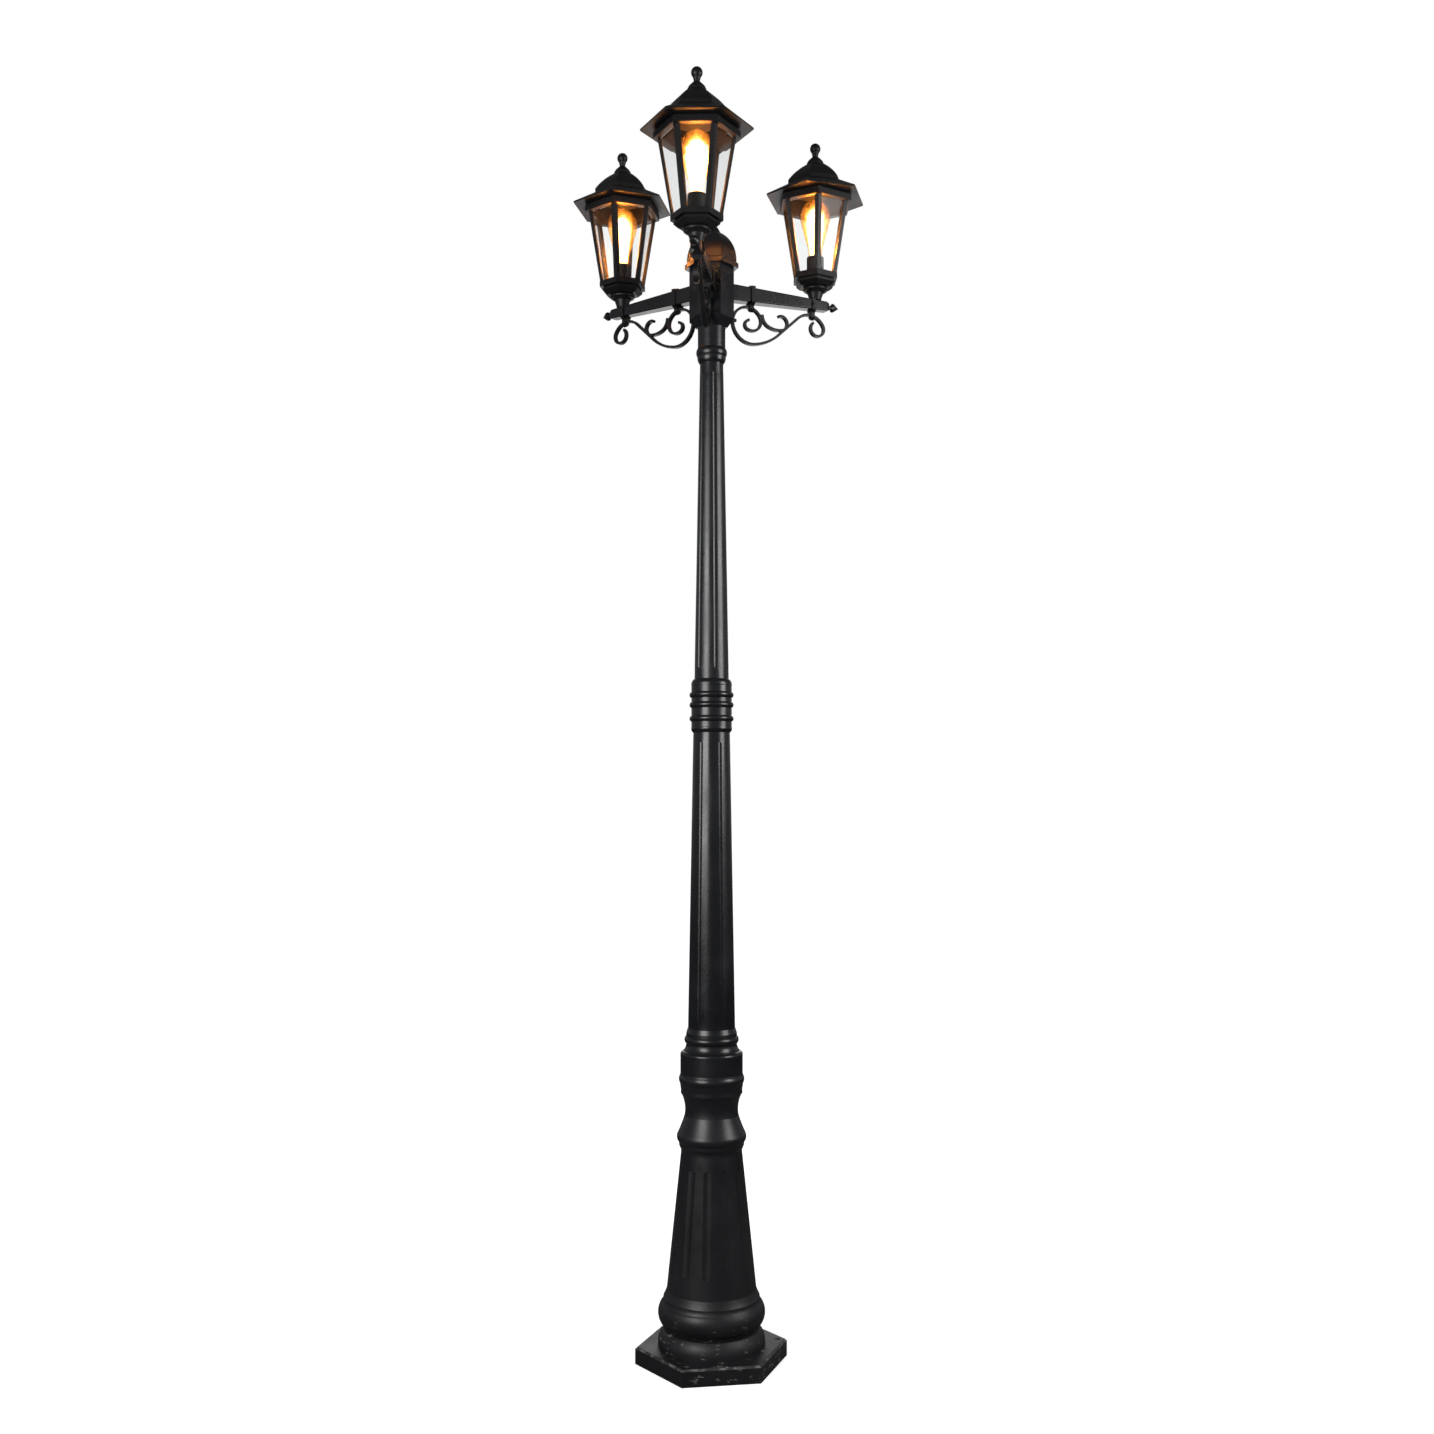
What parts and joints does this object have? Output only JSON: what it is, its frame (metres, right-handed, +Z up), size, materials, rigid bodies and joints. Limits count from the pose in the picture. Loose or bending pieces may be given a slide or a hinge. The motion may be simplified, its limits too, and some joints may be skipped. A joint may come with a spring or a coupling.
{
  "type": "street lamp post",
  "caption": "Classic garden lamp post: hexagonal foot, fluted tapered post, scroll arms and six-sided glass lanterns with lift-off roofs.",
  "frame": {"origin": "on the ground at the post's axis, the centre of the anchor bolt circle", "axes": "+Z up along the post, -Y along the front arm; the other two arms are 120 degrees to either side"},
  "size_m": [0.5777, 0.5331, 2.4],
  "materials": {
    "cast_black": "satin black powder coat on cast aluminium, finely speckled, light scuffs at the foot",
    "lantern_black": "satin black powder coat on die-cast aluminium",
    "wrought_black": "satin black painted flat bar",
    "black_screw": "blackened steel screws",
    "plated_brass": "plain turned brass threaded tube",
    "pane_glass": "clear flat glass",
    "bulb_glass": "clear, faintly amber blown glass",
    "filament_glow": "warm glowing filament sticks on a glass stem",
    "cap_metal": "threaded metal lamp cap",
    "holder_black": "matt black moulded lampholder",
    "moulded_nylon": "off-white moulded nylon",
    "lead_sheath": "grey sheathed two-core lead"
  },
  "bodies": {
    "post": {"base_plate": "cast_black", "pedestal": "cast_black", "pedestal_collar": "cast_black", "lower_tube": "cast_black", "middle_coupling": "cast_black", "upper_tube": "cast_black", "top_coupling": "cast_black", "set_screws": "black_screw", "head_box": "cast_black", "head_dome": "cast_black", "dome_finial": "cast_black", "terminal_block": "moulded_nylon", "strap_bolts": "black_screw", "stirrup_screws": "black_screw", "scroll_screws": "black_screw", "lantern_nipples": "plated_brass", "arm_front": "cast_black", "arm_finial_front": "cast_black", "scroll_front": "wrought_black", "arm_straps_front": "wrought_black", "lead_front": "lead_sheath", "lantern_cup_front": "lantern_black", "lantern_frame_front": "lantern_black", "glass_panes_front": "pane_glass", "lampholder_front": "holder_black", "arm_right": "cast_black", "arm_finial_right": "cast_black", "scroll_right": "wrought_black", "arm_straps_right": "wrought_black", "lead_right": "lead_sheath", "lantern_cup_right": "lantern_black", "lantern_frame_right": "lantern_black", "glass_panes_right": "pane_glass", "lampholder_right": "holder_black", "arm_left": "cast_black", "arm_finial_left": "cast_black", "scroll_left": "wrought_black", "arm_straps_left": "wrought_black", "lead_left": "lead_sheath", "lantern_cup_left": "lantern_black", "lantern_frame_left": "lantern_black", "glass_panes_left": "pane_glass", "lampholder_left": "holder_black"},
    "front_roof": {"roof_front": "lantern_black"},
    "front_knob": {"roof_knob_front": "lantern_black"},
    "front_bulb": {"bulb_cap_front": "cap_metal", "bulb_glass_front": "bulb_glass", "filament_front": "filament_glow"},
    "right_roof": {"roof_right": "lantern_black"},
    "right_knob": {"roof_knob_right": "lantern_black"},
    "right_bulb": {"bulb_cap_right": "cap_metal", "bulb_glass_right": "bulb_glass", "filament_right": "filament_glow"},
    "left_roof": {"roof_left": "lantern_black"},
    "left_knob": {"roof_knob_left": "lantern_black"},
    "left_bulb": {"bulb_cap_left": "cap_metal", "bulb_glass_left": "bulb_glass", "filament_left": "filament_glow"}
  },
  "joints": [
    {"name": "front_roof_lift", "type": "slide", "parent": "post", "child": "front_roof", "axis": [0, 0, 1], "range_m": [0, 0.16]},
    {"name": "front_knob_turn", "type": "hinge", "parent": "front_roof", "child": "front_knob", "pos_m": [0, -0.226, 2.36], "axis": [0, 0, 1], "continuous": true},
    {"name": "front_bulb_draw", "type": "slide", "parent": "post", "child": "front_bulb", "axis": [0, 0, 1], "range_m": [0, 0.028]},
    {"name": "right_roof_lift", "type": "slide", "parent": "post", "child": "right_roof", "axis": [0, 0, 1], "range_m": [0, 0.16]},
    {"name": "right_knob_turn", "type": "hinge", "parent": "right_roof", "child": "right_knob", "pos_m": [0.19572, 0.113, 2.36], "axis": [0, 0, 1], "continuous": true},
    {"name": "right_bulb_draw", "type": "slide", "parent": "post", "child": "right_bulb", "axis": [0, 0, 1], "range_m": [0, 0.028]},
    {"name": "left_roof_lift", "type": "slide", "parent": "post", "child": "left_roof", "axis": [0, 0, 1], "range_m": [0, 0.16]},
    {"name": "left_knob_turn", "type": "hinge", "parent": "left_roof", "child": "left_knob", "pos_m": [-0.19572, 0.113, 2.36], "axis": [0, 0, 1], "continuous": true},
    {"name": "left_bulb_draw", "type": "slide", "parent": "post", "child": "left_bulb", "axis": [0, 0, 1], "range_m": [0, 0.028]}
  ]
}
